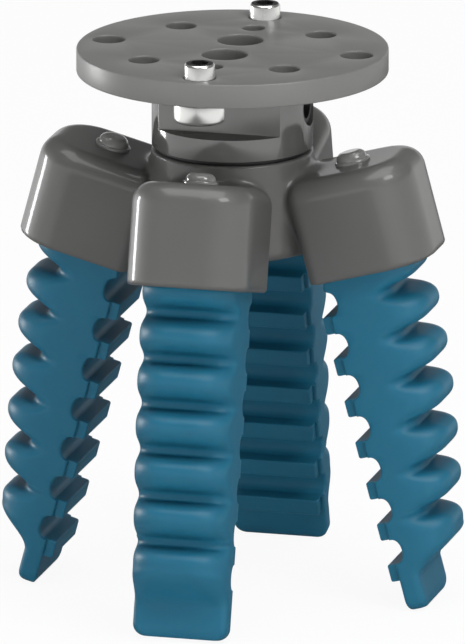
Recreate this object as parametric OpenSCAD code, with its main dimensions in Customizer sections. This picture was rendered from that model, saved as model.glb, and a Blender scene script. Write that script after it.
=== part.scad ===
// Soft finger gripper: a round adapter plate and post carry a moulded hub, and
// four silicone bellows fingers hang from the hub's splayed sockets.
// Origin: centre of the adapter plate's top face. Z up, one finger along +X.

/* [Adapter plate] */
// Diameter of the adapter plate
plate_d = 61; // [60:0.5:72]
// Thickness of the adapter plate
plate_t = 4.8; // [4:0.1:8]
// Radius on the plate's rims
plate_rim_r = 0.4; // [0.2:0.1:0.8]
// Pitch circle of the four flange screw holes
flange_pcd = 50; // [48:0.5:50.5]
// Clearance holes for the flange screws
flange_hole_d = 6.4; // [6.2:0.1:7]
// Pitch circle of the four holes between the flange screws
robot_pcd = 40; // [37:0.5:43]
// Diameter of the holes between the flange screws
robot_hole_d = 6; // [4.5:0.1:6.6]
// Distance between the two dowel holes
dowel_span = 32; // [30:0.5:33]
// Diameter of the dowel holes
dowel_d = 4.5; // [3:0.1:5]
// Diameter of the two screwdriver holes above the post screws
access_d = 9; // [8:0.1:10]

/* [Flange screws] */
// Nominal diameter of the flange screws
flange_screw_d = 6; // [5:0.1:6]
// Diameter of the flange screw head
flange_head_d = 10; // [8:0.1:10]
// Height of the flange screw head
flange_head_h = 4; // [2.5:0.1:5]
// Length of thread that stands above the plate
flange_screw_proud = 2.9; // [1:0.1:6]
// Diameter of a flange screw's neck inside the plate
flange_neck_d = 5.2; // [4.6:0.1:5.4]

/* [Post] */
// Diameter of the post
post_d = 31.6; // [31:0.1:33]
// Height of the post under the plate
post_h = 14.5; // [13:0.1:20]
// Distance across the two flats at the top of the post
post_flat_w = 20; // [19.8:0.1:24]
// Height of the flats
post_flat_h = 10.1; // [9:0.1:11]
// Depth of the air port's axis below the plate
port_drop = 6; // [5.5:0.1:6.5]
// Diameter of the bushing in the air port
port_d = 8; // [7:0.1:8.4]
// Depth of the bushing in the post
port_depth = 9; // [6:0.1:9.4]
// Bore of the bushing
port_bore_d = 5; // [4:0.1:5.6]

/* [Post screws] */
// Distance between the two screws that hold the post to the hub
post_screw_span = 12; // [11:0.1:12.4]
// Nominal diameter of the post screws
post_screw_d = 4; // [3:0.1:4]
// Diameter of the post screw head
post_head_d = 7; // [6:0.1:7]
// Height of the post screw head
post_head_h = 4; // [3:0.1:4.4]
// Depth of the screw head's seat below the plate
post_seat_drop = 7.6; // [7:0.1:9]
// Length of the post screws under the head
post_screw_l = 16; // [14:0.5:20]

/* [Gasket] */
// Thickness of the gasket between the post and the hub
gasket_t = 0.9; // [0.6:0.1:1.5]
// Setback of the gasket from the face of the post
gasket_setback = 0.6; // [0.4:0.1:1.2]

/* [Hub] */
// Height of the hub's core under the gasket
core_h = 19.3; // [18.5:0.1:20.5]
// Diameter of the core at its foot
core_foot_d = 34.6; // [33:0.1:36]
// Radius on the edge of the core's foot
core_foot_r = 1.5; // [0.5:0.1:2]
// Radius of the saddle where a socket joins the core
saddle_r = 2.5; // [1.5:0.1:2.6]
// Bore of the air channels in the post and the hub
air_d = 2; // [1.5:0.1:2.2]
// Height of the cross channels above the core's foot
air_rise = 2.6; // [2.2:0.1:3]

/* [Sockets] */
// Outward tilt of the sockets and fingers
tilt = 15; // [13:0.5:17]
// Distance of a socket mouth's centre from the middle axis
mouth_r = 30.2; // [30:0.1:33]
// Depth of a socket mouth's centre below the hub's top face
mouth_drop = 20.9; // [20:0.1:22]
// Size of a socket away from the middle axis
socket_l = 24.3; // [24.2:0.1:26]
// Width of a socket
socket_w = 24.4; // [24:0.1:26]
// Height of a socket
socket_h = 20.4; // [19:0.1:22]
// Radius of a socket's two outer corners
socket_outer_r = 9; // [7:0.1:10]
// Radius of a socket's two inner corners
socket_inner_r = 2; // [1:0.1:3]
// Radius round a socket's top edge
socket_top_r = 4; // [2:0.1:5]
// Radius round a socket's mouth
socket_lip_r = 0.6; // [0.3:0.1:0.8]
// Depth of the finger's pocket in a socket
pocket_h = 9; // [8.8:0.1:11]

/* [Finger] */
// Length of a finger below its socket's mouth
finger_l = 68.1; // [66:0.1:74]
// Width of a finger
finger_w = 19; // [17:0.1:19.2]
// Thickness of the finger at the socket's mouth
root_t = 18.4; // [17.5:0.1:18.6]
// Distance between two folds of the bellows
fold_pitch = 8.9; // [8.6:0.1:9]
// Number of folds below the one at the mouth
fold_count = 6; // [4:1:6]
// Depth of the first groove between folds below the mouth
fold_start = 5; // [4.5:0.1:5.5]
// Depth of the grooves between folds at the root
groove_root = 6.2; // [5:0.1:6.5]
// Depth of the grooves between folds at the last fold
groove_tip = 5.2; // [4:0.1:5.5]
// Taper of the bellows from the first fold to the last
fold_taper = 6.7; // [5:0.1:7.5]
// Radius of the finger's outer corners
finger_outer_r = 7; // [5:0.1:7.5]
// Radius of the finger's outer corners in the grooves between folds
groove_corner_r = 5.5; // [4:0.1:7]
// Chamfer along the finger's inner face
finger_chamfer = 0.5; // [0.3:0.1:1]
// Thickness of the flat pad at the fingertip
pad_t = 4; // [3.4:0.1:5]
// Radius of the fingertip's corners
tip_r = 2.4; // [1:0.1:3.5]

/* [Gripping ribs] */
// Distance between two ribs
rib_pitch = 8.48; // [8:0.01:8.6]
// Number of ribs
rib_count = 7; // [5:1:7]
// Width of a rib's face
rib_w = 3.43; // [2.8:0.01:4]
// Height of a rib above the finger's inner face
rib_h = 1.9; // [1.2:0.05:2.2]
// Depth of the round hollow between ribs, below the inner face
hollow_h = 2; // [1.2:0.05:2.3]
// Depth of the first rib below the mouth
rib_start = 7.3; // [7:0.1:8]
// Length of a rib across the finger
rib_l = 17.3; // [14:0.1:18]

/* [Finger inserts] */
// Diameter of the bead that the finger's root snaps over
bead_d = 8.4; // [7.5:0.1:8.6]
// Length of the bead across the finger
bead_l = 11; // [8:0.1:13]
// Diameter of the neck between bead and flange
neck_d = 4; // [4:0.1:4.6]
// Diameter of the insert's flange
insert_flange_d = 12; // [10:0.1:14]
// Thickness of the insert's flange
insert_flange_t = 1.5; // [1:0.1:1.6]
// Height of the finger's root above the mouth
root_h = 2.5; // [2:0.1:2.7]
// Gap all round between the silicone and the rigid parts
soft_gap = 0.3; // [0.25:0.05:0.4]
// Room on both sides of the root for the finger's swing
swing_gap = 0.8; // [0.8:0.05:1]

/* [Socket screws] */
// Diameter of the screw that holds an insert
nub_shank_d = 2.5; // [2:0.1:3]
// Diameter of the domed screw head
nub_d = 7; // [6:0.1:8]
// Height of the domed screw head
nub_h = 2.2; // [1.6:0.1:3]
// Length of the screw in the insert
nub_grip = 5; // [3:0.1:5.5]

/* [Hidden] */
$fn = 96;
cut = 0.01;                  // overrun of a cut past a face
screw_play = 0.2;            // radial play round a screw's shank and head
RIGHT = 0;
BACK = 90;
LEFT = 180;
FRONT = 270;

under_plate = -plate_t;
post_foot = under_plate - post_h;
hub_top = post_foot - gasket_t;
core_foot = hub_top - core_h;
mouth_z = hub_top - mouth_drop;
port_z = under_plate - port_drop;
post_seat_z = under_plate - post_seat_drop;
cross_air_z = core_foot + air_rise;

// Along a finger: x points away from the middle axis, z up from the mouth,
// and depths d are measured down from the mouth.
pivot_x = -0.7;
root_in = pivot_x - root_t / 2;
root_out = pivot_x + root_t / 2;
rib_face = -socket_l / 2;
last_groove = fold_start + fold_count * fold_pitch;
first_crest = fold_start + fold_pitch / 2;
last_crest = last_groove - fold_pitch / 2;
first_hollow = rib_start - rib_pitch + rib_w;
hollow_sides = 10;           // steps of a round hollow
finger_in = rib_face + rib_h;
pad_out = finger_in + pad_t;
groove_floor = 0.74;         // share of a half fold where its round flank starts
soft_sides = 5;              // steps round a finger's outer corner
soft_side_flat = 0.5;        // least flat between a finger's corner and its chamfer
flank_share = 0.2;           // share of the last fold where its flank leaves the round
flank_run = 3.4;             // length of the flank past the last groove
pad_edge_r = 1.4;            // radius of the pad's outer edges
tip_thinning = 0.35;         // share of the tip's rounding taken off its two faces
root_relief = 1.2;           // thinning of the root above the mouth, for its swing
rib_edge = 0.35;             // chamfer along a rib's face
rib_root = 1;                // depth of a rib's root in the finger
bead_hole_r = bead_d / 2 + soft_gap;

// ---------- shared shapes ----------

module at_socket(angle) {
    rotate([0, 0, angle])
        translate([mouth_r, 0, mouth_z])
            rotate([0, -tilt, 0])
                children();
}

// Rectangle from x = a to x = b with round corners: outer_r at b, inner_r at a
module d_plan(a, b, w, outer_r, inner_r) {
    translate([a + inner_r, -w / 2])
        square([b - a - inner_r - outer_r, w]);
    translate([a, -w / 2 + inner_r])
        square([inner_r + cut, w - 2 * inner_r]);
    translate([b - outer_r - cut, -w / 2 + outer_r])
        square([outer_r + cut, w - 2 * outer_r]);
    for (side = [-1, 1]) {
        translate([a + inner_r, side * (w / 2 - inner_r)])
            circle(r = inner_r);
        translate([b - outer_r, side * (w / 2 - outer_r)])
            circle(r = outer_r);
    }
}

// Disc with a small radius on both rims, its lower face at z = 0
module rimmed_disc(d, h, rim) {
    rotate_extrude()
        polygon(concat(
            [[0, 0]],
            [for (a = [-90:30:0]) [d / 2 - rim + rim * cos(a), rim + rim * sin(a)]],
            [for (a = [0:30:90]) [d / 2 - rim + rim * cos(a), h - rim + rim * sin(a)]],
            [[0, h]]
        ));
}

// Cap screw: head seated at z = 0 and rising, shank down to z = -l
module cap_screw(d, head_d, head_h, l, key_d) {
    difference() {
        union() {
            translate([0, 0, -l])
                cylinder(d = d, h = l + cut);
            rimmed_disc(head_d, head_h, 0.4);
        }
        translate([0, 0, head_h / 2])
            cylinder(d = key_d, h = head_h, $fn = 6);
    }
}

// ---------- adapter plate and its screws ----------

module adapter_plate() {
    color("dimgray")
        difference() {
            translate([0, 0, under_plate])
                rimmed_disc(plate_d, plate_t, plate_rim_r);
            for (angle = [RIGHT, BACK, LEFT, FRONT])
                rotate([0, 0, angle]) {
                    plate_hole(flange_pcd / 2, 0, flange_hole_d);
                    rotate([0, 0, 45])
                        plate_hole(robot_pcd / 2, 0, robot_hole_d);
                }
            for (side = [-1, 1]) {
                plate_hole(0, side * dowel_span / 2, dowel_d);
                plate_hole(0, side * post_screw_span / 2, access_d);
            }
        }
}

module plate_hole(x, y, d) {
    translate([x, y, under_plate - cut])
        cylinder(d = d, h = plate_t + 2 * cut);
}

// Head under the plate, slim neck through it, and above it the chamfered
// thread end with a hexagon recess
module flange_screw(angle) {
    end_chamfer = 0.5;
    neck_l = plate_t + 0.2;
    shank_l = plate_t + flange_screw_proud;
    color("gainsboro")
        rotate([0, 0, angle])
            translate([flange_pcd / 2, 0, under_plate])
                difference() {
                    union() {
                        translate([0, 0, -flange_head_h])
                            rimmed_disc(flange_head_d, flange_head_h, 0.6);
                        cylinder(d = flange_neck_d, h = shank_l - end_chamfer);
                        translate([0, 0, neck_l])
                            cylinder(d = flange_screw_d, h = shank_l - end_chamfer - neck_l);
                        translate([0, 0, shank_l - end_chamfer])
                            rotate_extrude()
                                polygon([
                                    [0, -cut],
                                    [flange_screw_d / 2, -cut],
                                    [flange_screw_d / 2, 0],
                                    [flange_screw_d / 2 - end_chamfer, end_chamfer],
                                    [0, end_chamfer]
                                ]);
                    }
                    translate([0, 0, shank_l - flange_screw_proud / 2])
                        cylinder(d = flange_screw_d * 0.58, h = flange_screw_proud, $fn = 6);
                    translate([0, 0, -flange_head_h - cut])
                        cylinder(d = flange_head_d * 0.46, h = flange_head_h / 2, $fn = 6);
                }
}

module flange_screw_front() { flange_screw(FRONT); }
module flange_screw_back() { flange_screw(BACK); }

// ---------- post ----------

module hub_post() {
    color("dimgray")
        difference() {
            translate([0, 0, post_foot])
                cylinder(d = post_d, h = post_h);
            for (side = [-1, 1])
                translate([
                    -post_d / 2,
                    side > 0 ? post_flat_w / 2 : -post_flat_w / 2 - post_d,
                    under_plate - post_flat_h
                ])
                    cube([post_d, post_d, post_flat_h + cut]);
            for (side = [-1, 1])
                translate([0, side * post_screw_span / 2, 0]) {
                    translate([0, 0, post_seat_z])
                        cylinder(d = post_head_d + 2 * screw_play, h = post_seat_drop + cut);
                    translate([0, 0, post_foot - cut])
                        cylinder(d = post_screw_d + 2 * screw_play, h = post_h);
                }
            translate([post_d / 2 - port_depth, 0, port_z])
                rotate([0, 90, 0])
                    cylinder(d = port_d, h = port_depth + cut);
            translate([0, 0, port_z])
                rotate([0, 90, 0])
                    cylinder(d = air_d, h = post_d / 2);
            translate([0, 0, post_foot - cut])
                cylinder(d = air_d, h = port_z - post_foot + cut);
        }
}

module port_bushing() {
    color("black")
        intersection() {
            translate([post_d / 2 - port_depth, 0, port_z])
                rotate([0, 90, 0])
                    difference() {
                        cylinder(d = port_d, h = port_depth);
                        translate([0, 0, -cut])
                            cylinder(d = port_bore_d, h = port_depth + 2 * cut);
                    }
            translate([0, 0, post_foot])
                cylinder(d = post_d, h = post_h);
        }
}

module post_screw(side) {
    color("silver")
        translate([0, side * post_screw_span / 2, post_seat_z])
            cap_screw(post_screw_d, post_head_d, post_head_h, post_screw_l, post_head_d * 0.48);
}

module post_screw_front() { post_screw(-1); }
module post_screw_back() { post_screw(1); }

module hub_gasket() {
    color("black")
        translate([0, 0, hub_top])
            difference() {
                cylinder(d = post_d - 2 * gasket_setback, h = gasket_t);
                translate([0, 0, -cut])
                    cylinder(d = air_d, h = gasket_t + 2 * cut);
                for (side = [-1, 1])
                    translate([0, side * post_screw_span / 2, -cut])
                        cylinder(d = post_screw_d + 2 * screw_play, h = gasket_t + 2 * cut);
            }
}

// ---------- hub with four sockets ----------

// Upright bar of radius r whose top edge is rounded by socket_top_r
module socket_corner(r) {
    top_w = min(r, socket_top_r);
    rotate_extrude($fn = 32)
        polygon(concat(
            [[0, 0], [r - socket_lip_r, 0], [r, socket_lip_r]],
            [for (a = [0:18:90]) [
                r - top_w + top_w * cos(a),
                socket_h - socket_top_r + socket_top_r * sin(a)
            ]],
            [[0, socket_h]]
        ));
}

module socket_skin() {
    hull()
        for (side = [-1, 1]) {
            translate([socket_l / 2 - socket_outer_r, side * (socket_w / 2 - socket_outer_r), 0])
                socket_corner(socket_outer_r);
            translate([socket_inner_r - socket_l / 2, side * (socket_w / 2 - socket_inner_r), 0])
                socket_corner(socket_inner_r);
        }
}

// Core of the hub: a cone that meets the sockets' inner walls at its foot
module hub_core() {
    rotate_extrude()
        polygon(concat(
            [[0, hub_top], [0, core_foot]],
            [for (a = [-90:30:0]) [
                core_foot_d / 2 - core_foot_r + core_foot_r * cos(a),
                core_foot + core_foot_r + core_foot_r * sin(a)
            ]],
            [[post_d / 2, hub_top - core_h / 4], [post_d / 2, hub_top]]
        ));
}

// Concave saddle between the core and the top of each socket, under the hub's top face
module saddles() {
    top_inner_r = mouth_r - socket_l / 2 * cos(tilt) - socket_h * sin(tilt);
    top_inner_z = mouth_z - socket_l / 2 * sin(tilt) + socket_h * cos(tilt);
    centre_r = post_d / 2 + saddle_r;
    centre_z = top_inner_z + (centre_r - top_inner_r) * tan(tilt) + saddle_r / cos(tilt);
    intersection() {
        rotate_extrude()
            polygon(concat(
                [[post_d / 2 - 1, centre_z]],
                [for (a = [180:15:270]) [
                    centre_r + saddle_r * cos(a),
                    centre_z + saddle_r * sin(a)
                ]],
                [[centre_r, centre_z - 2 * saddle_r], [post_d / 2 - 1, centre_z - 2 * saddle_r]]
            ));
        union()
            for (angle = [0, 90])
                rotate([0, 0, angle])
                    translate([-mouth_r, socket_top_r - socket_w / 2, core_foot])
                        cube([2 * mouth_r, socket_w - 2 * socket_top_r, core_h]);
    }
}

module socket_hub() {
    color("gray")
        difference() {
            union() {
                hub_core();
                saddles();
                for (angle = [RIGHT, BACK, LEFT, FRONT])
                    at_socket(angle)
                        socket_skin();
            }
            for (angle = [RIGHT, BACK, LEFT, FRONT]) {
                at_socket(angle)
                    socket_pocket();
                rotate([0, 0, angle])
                    translate([0, 0, cross_air_z])
                        rotate([0, 90, 0])
                            cylinder(d = air_d, h = mouth_r - socket_l / 3);
            }
            translate([0, 0, cross_air_z])
                cylinder(d = air_d, h = core_h);
            for (side = [-1, 1])
                translate([0, side * post_screw_span / 2, post_seat_z - post_screw_l - 1])
                    cylinder(d = post_screw_d, h = post_screw_l);
        }
}

// Pocket for the finger's root, and the bore for the socket screw above it
module socket_pocket() {
    translate([0, 0, -cut])
        linear_extrude(pocket_h + cut)
            d_plan(
                root_in - swing_gap,
                root_out + swing_gap,
                finger_w + 2 * soft_gap,
                finger_outer_r,
                finger_chamfer
            );
    translate([pivot_x, 0, pocket_h - cut])
        cylinder(d = nub_shank_d + screw_play, h = socket_h);
}

// ---------- inserts and their screws ----------

// Neck, flange and cross bead that hold the root of a finger
module finger_insert(angle) {
    color("darkgray")
        at_socket(angle)
            translate([pivot_x, 0, 0])
                difference() {
                    union() {
                        rotate([90, 0, 0])
                            cylinder(d = bead_d, h = bead_l, center = true);
                        cylinder(d = neck_d, h = pocket_h);
                        translate([0, 0, pocket_h - insert_flange_t])
                            cylinder(d = insert_flange_d, h = insert_flange_t);
                    }
                    translate([0, 0, pocket_h - nub_grip])
                        cylinder(d = nub_shank_d, h = nub_grip + cut);
                }
}

module finger_insert_right() { finger_insert(RIGHT); }
module finger_insert_back() { finger_insert(BACK); }
module finger_insert_left() { finger_insert(LEFT); }
module finger_insert_front() { finger_insert(FRONT); }

// Domed head with a thin flange on the socket, shank down into the insert
module socket_screw(angle) {
    rim_h = 0.6;
    dome_r = nub_d * 0.46;
    top_r = dome_r / 2;
    color("gray")
        at_socket(angle)
            translate([pivot_x, 0, socket_h]) {
                rotate_extrude()
                    polygon(concat(
                        [[0, 0], [nub_d / 2, 0], [nub_d / 2, rim_h]],
                        [for (a = [0:15:90]) [
                            top_r + (dome_r - top_r) * cos(a),
                            rim_h + (nub_h - rim_h) * sin(a)
                        ]],
                        [[0, nub_h]]
                    ));
                translate([0, 0, pocket_h - nub_grip - socket_h])
                    cylinder(d = nub_shank_d, h = socket_h + nub_grip - pocket_h + cut);
            }
}

module socket_screw_right() { socket_screw(RIGHT); }
module socket_screw_back() { socket_screw(BACK); }
module socket_screw_left() { socket_screw(LEFT); }
module socket_screw_front() { socket_screw(FRONT); }

// ---------- soft fingers ----------

// How far the bellows have tapered at depth d: 0 at the first crest, 1 at the last
function taper_at(d) = pow(max(0, min(1.1, (d - first_crest) / (last_crest - first_crest))), 1.5);
// Outer reach of the folds at depth d
function crest_at(d) = root_out - fold_taper * taper_at(d);
// Outer reach of the groove floors at depth d
function floor_at(d) = crest_at(d) - groove_root + (groove_root - groove_tip) * taper_at(d);
// Round bulge of a fold, s from -1 to 1 between two grooves
function bulge(s) = abs(s) >= groove_floor ? 0 : pow(1 - pow(abs(s) / groove_floor, 2.4), 0.5);
// Depth, and outer face of the finger, at share s of fold k
function fold_depth(k, s) = fold_start + (k + 0.5 + s / 2) * fold_pitch;
function fold_out(k, s) =
    let (d = fold_depth(k, s))
    floor_at(d) + (crest_at(d) - floor_at(d)) * bulge(s);
// Outer corner radius at share s of a fold
function corner_at(s) = groove_corner_r + (finger_outer_r - groove_corner_r) * bulge(s);
// Soft step from 0 to 1
function ease(t) = t * t * (3 - 2 * t);

// One closed section: depth d, inner and outer faces a and b, half width w,
// outer corner radius up to r, inner chamfer c, and flat sides between them
function section(d, a, b, w, r, c) =
    let (q = min(r, b - a - c - soft_side_flat))
    concat(
        [[a, -w + c, -d], [a + c, -w, -d]],
        [
            for (i = [0:soft_sides])
                let (t = -90 + 90 * i / soft_sides)
                [b - q + q * cos(t), -w + q + q * sin(t), -d]
        ],
        [
            for (i = [0:soft_sides])
                let (t = 90 * i / soft_sides)
                [b - q + q * cos(t), w - q + q * sin(t), -d]
        ],
        [[a + c, w, -d], [a, w - c, -d]]
    );

// Closed skin through a list of sections that all have the same number of points
module skin(sections) {
    n = len(sections[0]);
    last = len(sections) - 1;
    polyhedron(
        points = [for (ring = sections) for (p = ring) p],
        faces = concat(
            [[for (i = [n - 1:-1:0]) i]],
            [for (j = [0:last - 1]) for (i = [0:n - 1]) [
                j * n + i,
                j * n + (i + 1) % n,
                (j + 1) * n + (i + 1) % n,
                (j + 1) * n + i
            ]],
            [[for (i = [0:n - 1]) last * n + i]]
        ),
        convexity = 12
    );
}

finger_half = finger_w / 2;
// Shares of a half fold where the skin takes its sections
mouth_steps = [0.3, 0.56, 0.7, groove_floor];
fold_steps = [-groove_floor, -0.7, -0.56, -0.3, 0, 0.3, 0.56, 0.7, groove_floor];
last_steps = [-groove_floor, -0.7, -0.56, -0.3, 0, flank_share];
flank_start = fold_depth(fold_count - 1, flank_share);
flank_end = last_groove + flank_run;

// Section at share s of fold k
function fold_section(k, s) = section(
    fold_depth(k, s), finger_in, fold_out(k, s), finger_half, corner_at(s), finger_chamfer
);
// Section of the root inside the socket, thinned by inset on both faces
function root_section(d, inset) = section(
    d, root_in + inset, root_out - inset, finger_half, finger_outer_r, finger_chamfer
);
// Section at share t of the long flank from the last fold to the pad
function flank_section(t) =
    let (crest = fold_out(fold_count - 1, flank_share))
    section(
        flank_start + (flank_end - flank_start) * t,
        finger_in,
        crest + (pad_out - crest) * ease(t),
        finger_half,
        finger_outer_r + (pad_edge_r - finger_outer_r) * t,
        finger_chamfer
    );
// Section of the pad at share t of the tip's rounding
function tip_section(t) =
    let (inset = tip_r * (1 - sqrt(1 - t * t)))
    section(
        finger_l - tip_r + tip_r * t,
        finger_in + inset * tip_thinning,
        pad_out - inset * tip_thinning,
        finger_half - inset,
        pad_edge_r,
        finger_chamfer
    );

module finger_body() {
    skin(concat(
        [root_section(-root_h, root_relief)],
        [root_section(-root_relief / 3, root_relief)],
        [root_section(0, 0)],
        [for (s = mouth_steps) fold_section(-1, s)],
        [for (k = [0:fold_count - 2]) for (s = fold_steps) fold_section(k, s)],
        [for (s = last_steps) fold_section(fold_count - 1, s)],
        [for (t = [0.25:0.25:1]) flank_section(t)],
        [for (t = [0, 0.5, 0.8, 0.95, 1]) tip_section(t)]
    ));
}

// Extrudes a profile of [x, z] points across the finger, from y = a to y = b
module across(a, b) {
    translate([0, b, 0])
        rotate([90, 0, 0])
            linear_extrude(b - a)
                children();
}

// Square rib that stands on the inner face, its upper side at depth d
module rib(d) {
    across(-rib_l / 2, rib_l / 2)
        translate([rib_face, -d - rib_w])
            polygon([
                [rib_edge, 0], [rib_h + rib_root, 0], [rib_h + rib_root, rib_w],
                [rib_edge, rib_w], [0, rib_w - rib_edge], [0, rib_edge]
            ]);
}

// Round hollow between two ribs, from depth d: a half oval that leaves the ribs' sides square
module rib_hollow(d) {
    half = (rib_pitch - rib_w) / 2;
    across(-finger_w, finger_w)
        translate([finger_in, -d - half])
            polygon(concat(
                [[-rib_h - cut, half], [-rib_h - cut, -half]],
                [for (i = [0:hollow_sides]) let (t = 180 * i / hollow_sides - 90) [
                    hollow_h * pow(cos(t), 0.8),
                    half * sin(t)
                ]]
            ));
}

module soft_finger(angle) {
    color("steelblue")
        at_socket(angle)
            difference() {
                union() {
                    finger_body();
                    for (i = [0:rib_count - 1])
                        rib(rib_start + i * rib_pitch);
                }
                for (i = [0:rib_count - 1])
                    rib_hollow(first_hollow + i * rib_pitch);
                translate([pivot_x, 0, 0])
                    rotate([90, 0, 0])
                        cylinder(r = bead_hole_r, h = bead_l + 2 * soft_gap, center = true);
            }
}

module soft_finger_right() { soft_finger(RIGHT); }
module soft_finger_back() { soft_finger(BACK); }
module soft_finger_left() { soft_finger(LEFT); }
module soft_finger_front() { soft_finger(FRONT); }

// ---------- drawing ----------

adapter_plate();
hub_post();
port_bushing();
hub_gasket();
socket_hub();
flange_screw_front();
flange_screw_back();
post_screw_front();
post_screw_back();
finger_insert_right();
finger_insert_back();
finger_insert_left();
finger_insert_front();
socket_screw_right();
socket_screw_back();
socket_screw_left();
socket_screw_front();
soft_finger_right();
soft_finger_back();
soft_finger_left();
soft_finger_front();
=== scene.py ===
import math

import bmesh
import bpy
import numpy as np
from mathutils import Matrix, Vector


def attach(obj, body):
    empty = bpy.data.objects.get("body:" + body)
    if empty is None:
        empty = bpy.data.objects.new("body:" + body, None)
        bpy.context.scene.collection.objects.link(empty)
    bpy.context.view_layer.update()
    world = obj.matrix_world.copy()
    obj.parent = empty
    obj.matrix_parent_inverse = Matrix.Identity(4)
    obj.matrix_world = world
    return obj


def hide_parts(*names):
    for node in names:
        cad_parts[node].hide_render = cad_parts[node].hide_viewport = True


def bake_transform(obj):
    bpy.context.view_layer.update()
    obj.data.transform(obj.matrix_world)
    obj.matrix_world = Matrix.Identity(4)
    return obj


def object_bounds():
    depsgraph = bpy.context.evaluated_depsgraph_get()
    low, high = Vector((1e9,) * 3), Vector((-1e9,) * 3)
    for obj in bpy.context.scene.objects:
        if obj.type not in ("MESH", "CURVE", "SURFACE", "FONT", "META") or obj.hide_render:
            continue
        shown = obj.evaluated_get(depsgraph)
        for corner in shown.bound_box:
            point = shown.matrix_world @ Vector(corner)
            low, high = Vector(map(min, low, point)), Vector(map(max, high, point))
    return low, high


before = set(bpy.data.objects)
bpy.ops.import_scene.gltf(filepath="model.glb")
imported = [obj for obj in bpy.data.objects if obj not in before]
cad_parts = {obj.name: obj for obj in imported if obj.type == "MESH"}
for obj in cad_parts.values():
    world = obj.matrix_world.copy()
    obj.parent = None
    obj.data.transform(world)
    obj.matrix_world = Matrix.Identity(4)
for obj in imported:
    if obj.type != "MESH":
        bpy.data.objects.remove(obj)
cad_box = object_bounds()


# ---------------------------------------------------------------- camera
# The gripper stands upright in its own frame. It is seen a little from above and
# from its right, through a long lens that keeps the upright lines nearly parallel.
VIEW_AZIMUTH = math.radians(14.76)
VIEW_ELEVATION = math.radians(15.0)
VIEW_DISTANCE = 3.5
VIEW_HEIGHT = 0.1262
VIEW_CENTRE = Vector((0, 0, -0.0556))

view_axis = Vector((
    math.sin(VIEW_AZIMUTH) * math.cos(VIEW_ELEVATION),
    -math.cos(VIEW_AZIMUTH) * math.cos(VIEW_ELEVATION),
    math.sin(VIEW_ELEVATION),
))
camera = bpy.data.objects.new("camera", bpy.data.cameras.new("camera"))
bpy.context.scene.collection.objects.link(camera)
camera.location = VIEW_CENTRE + view_axis * VIEW_DISTANCE
camera.rotation_euler = view_axis.to_track_quat("Z", "Y").to_euler()
camera.data.lens = camera.data.sensor_width * VIEW_DISTANCE / VIEW_HEIGHT
camera.data.clip_start = 0.1
camera.data.clip_end = 20
bpy.context.scene.camera = camera


# ---------------------------------------------------------------- studio
# A matt white floor under a sky that is brightest near the horizon. An overhead
# lamp and a key light the grey parts, two low panels lift the silicone, and a
# narrow strip draws bright lines down the sockets.
WHITE = (1, 1, 1, 1)
SKY = {"horizon": 1.0, "zenith": 0.16, "fade_from": 0.04, "fade_to": 0.28}
FLOOR = {"half": 6.0, "colour": (0.86, 0.86, 0.86, 1), "seen_white": 0.93}
CARDS = {"from": 0.12, "to": 0.30, "between": 0.15, "beside": 1.0}

bpy.context.scene.view_settings.view_transform = "Standard"


def add_node(tree, kind, **values):
    """A new node with some of its inputs set. A space in an input's name is an underscore."""
    node = tree.nodes.new(kind)
    for name, value in values.items():
        node.inputs[name.replace("_", " ")].default_value = value
    return node


def add_math(tree, operation, value=0.5):
    """A new math node with its second input set."""
    node = tree.nodes.new("ShaderNodeMath")
    node.operation = operation
    node.inputs[1].default_value = value
    return node


def new_material(name):
    """An empty material, its node tree and its output node."""
    material = bpy.data.materials.new(name)
    material.use_nodes = True
    tree = material.node_tree
    tree.nodes.clear()
    return material, tree, add_node(tree, "ShaderNodeOutputMaterial")


def hang_sky():
    """A grey sky that is lighter at the horizon, and white where the camera sees it."""
    world = bpy.data.worlds.new("studio_sky")
    world.use_nodes = True
    tree = world.node_tree
    tree.nodes.clear()
    link = tree.links.new
    place = add_node(tree, "ShaderNodeTexCoord")
    split = add_node(tree, "ShaderNodeSeparateXYZ")
    strength = add_node(
        tree, "ShaderNodeMapRange", From_Min=SKY["fade_from"], From_Max=SKY["fade_to"],
        To_Min=SKY["horizon"], To_Max=SKY["zenith"],
    )
    light = add_node(tree, "ShaderNodeBackground", Color=WHITE)
    seen = add_node(tree, "ShaderNodeBackground", Color=WHITE, Strength=1.0)
    path = add_node(tree, "ShaderNodeLightPath")
    mix = add_node(tree, "ShaderNodeMixShader")
    output = add_node(tree, "ShaderNodeOutputWorld")
    link(place.outputs["Generated"], split.inputs[0])
    link(split.outputs["Z"], strength.inputs["Value"])
    link(strength.outputs["Result"], light.inputs["Strength"])
    link(path.outputs["Is Camera Ray"], mix.inputs["Fac"])
    link(light.outputs[0], mix.inputs[1])
    link(seen.outputs[0], mix.inputs[2])
    link(mix.outputs[0], output.inputs["Surface"])
    bpy.context.scene.world = world


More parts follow.
